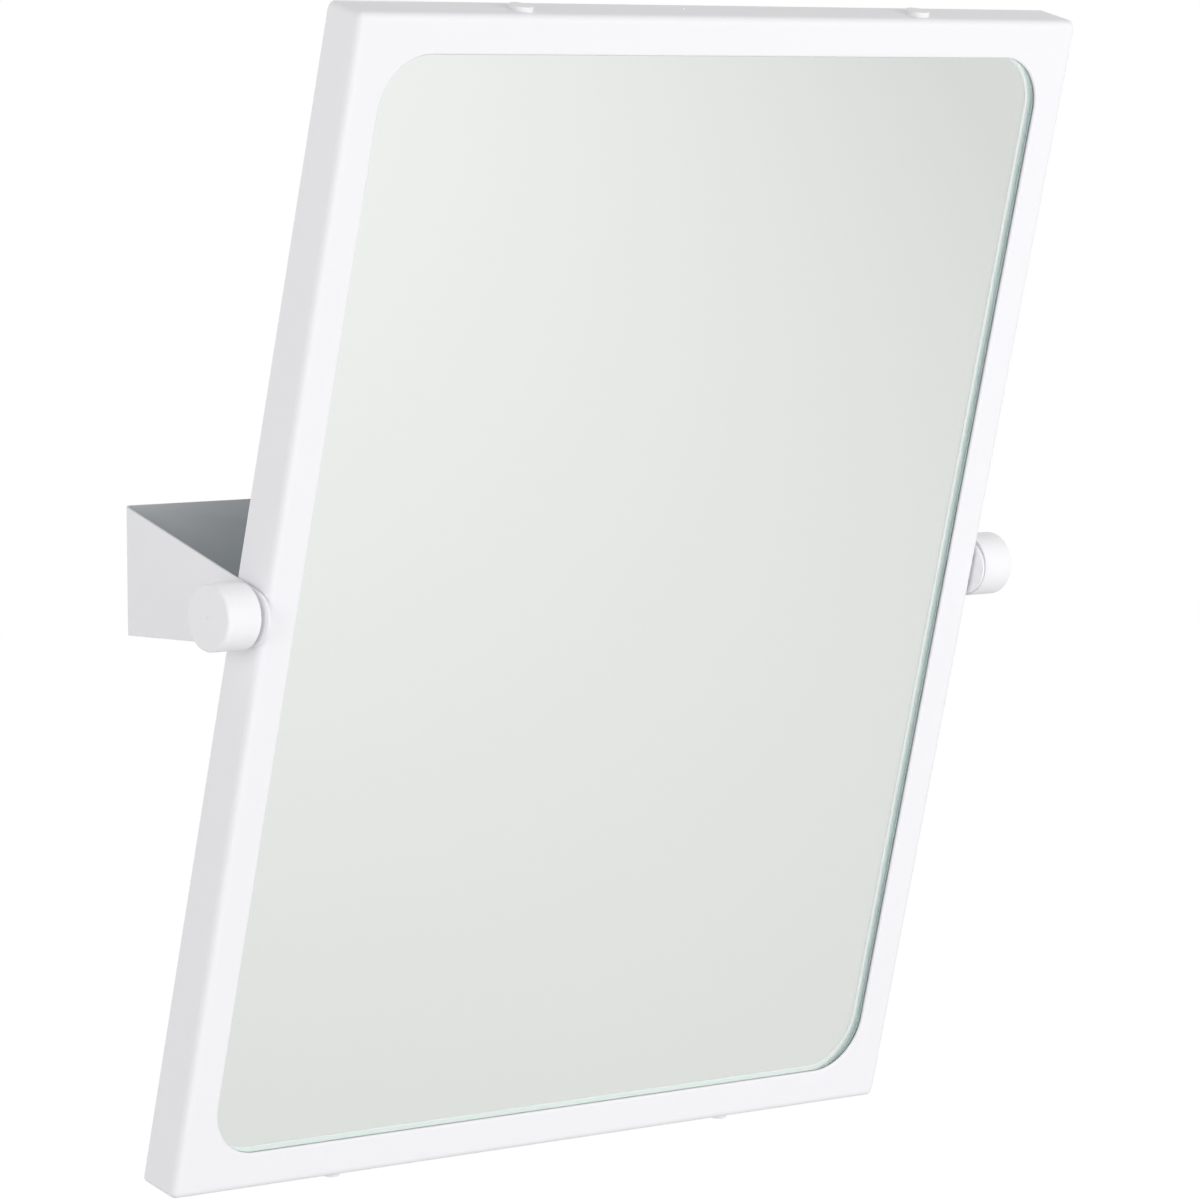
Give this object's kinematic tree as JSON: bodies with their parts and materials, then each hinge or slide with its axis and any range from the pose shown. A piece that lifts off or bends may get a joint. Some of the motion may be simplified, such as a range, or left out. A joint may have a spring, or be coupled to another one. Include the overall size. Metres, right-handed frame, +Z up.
{
  "type": "pivot wall mirror",
  "caption": "Framed rectangular wall mirror that tilts between the arms of a folded sheet bracket and is clamped by a round knob on each side.",
  "frame": {"origin": "centre of the four wall screw holes, on the wall face of the bracket's plate", "axes": "+X to the viewer's right, +Y from the room into the wall, +Z up; the mirror faces -Y and leans 15 degrees forward"},
  "size_m": [0.5302, 0.1838, 0.5873],
  "materials": {
    "bracket_paint": "white powder coat on steel sheet",
    "frame_white": "satin white moulding",
    "float_glass": "clear float glass with a faint green tint",
    "silver": "silver coat seen through the glass, grey safety film behind",
    "foam": "closed-cell foam",
    "tray_plastic": "blue-grey moulding",
    "block_nylon": "glass-filled nylon",
    "insert_brass": "knurled brass",
    "zinc_steel": "zinc plated",
    "washer_nylon": "natural nylon",
    "knob_white": "satin white moulding",
    "cap_white": "satin white moulding"
  },
  "bodies": {
    "bracket": {"wall_bracket": "bracket_paint"},
    "mirror": {"front_frame": "frame_white", "mirror_glass": "float_glass", "silver_backing": "silver", "foam_ring": "foam", "rear_tray": "tray_plastic", "pivot_block_left": "block_nylon", "pivot_block_right": "block_nylon", "insert_left": "insert_brass", "insert_right": "insert_brass", "friction_washer_left": "washer_nylon", "friction_washer_right": "washer_nylon", "tray_screw_top_left": "zinc_steel", "tray_screw_top_right": "zinc_steel", "tray_screw_bottom_left": "zinc_steel", "tray_screw_bottom_right": "zinc_steel", "screw_cap_top_left": "cap_white", "screw_cap_top_right": "cap_white", "screw_cap_bottom_left": "cap_white", "screw_cap_bottom_right": "cap_white"},
    "left_knob": {"knob_left": "knob_white", "stud_left": "zinc_steel", "spacer_washer_left": "washer_nylon"},
    "right_knob": {"knob_right": "knob_white", "stud_right": "zinc_steel", "spacer_washer_right": "washer_nylon"}
  },
  "joints": [
    {"name": "tilt", "type": "hinge", "parent": "bracket", "child": "mirror", "pos_m": [0, -0.095, -0.0172], "axis": [1, 0, 0], "range_deg": [-30, 0]},
    {"name": "left_knob_turn", "type": "hinge", "parent": "mirror", "child": "left_knob", "pos_m": [-0.2545, -0.095, -0.0172], "axis": [-1, 0, 0], "range_deg": [0, 360]},
    {"name": "right_knob_turn", "type": "hinge", "parent": "mirror", "child": "right_knob", "pos_m": [0.2545, -0.095, -0.0172], "axis": [1, 0, 0], "range_deg": [0, 360]}
  ]
}
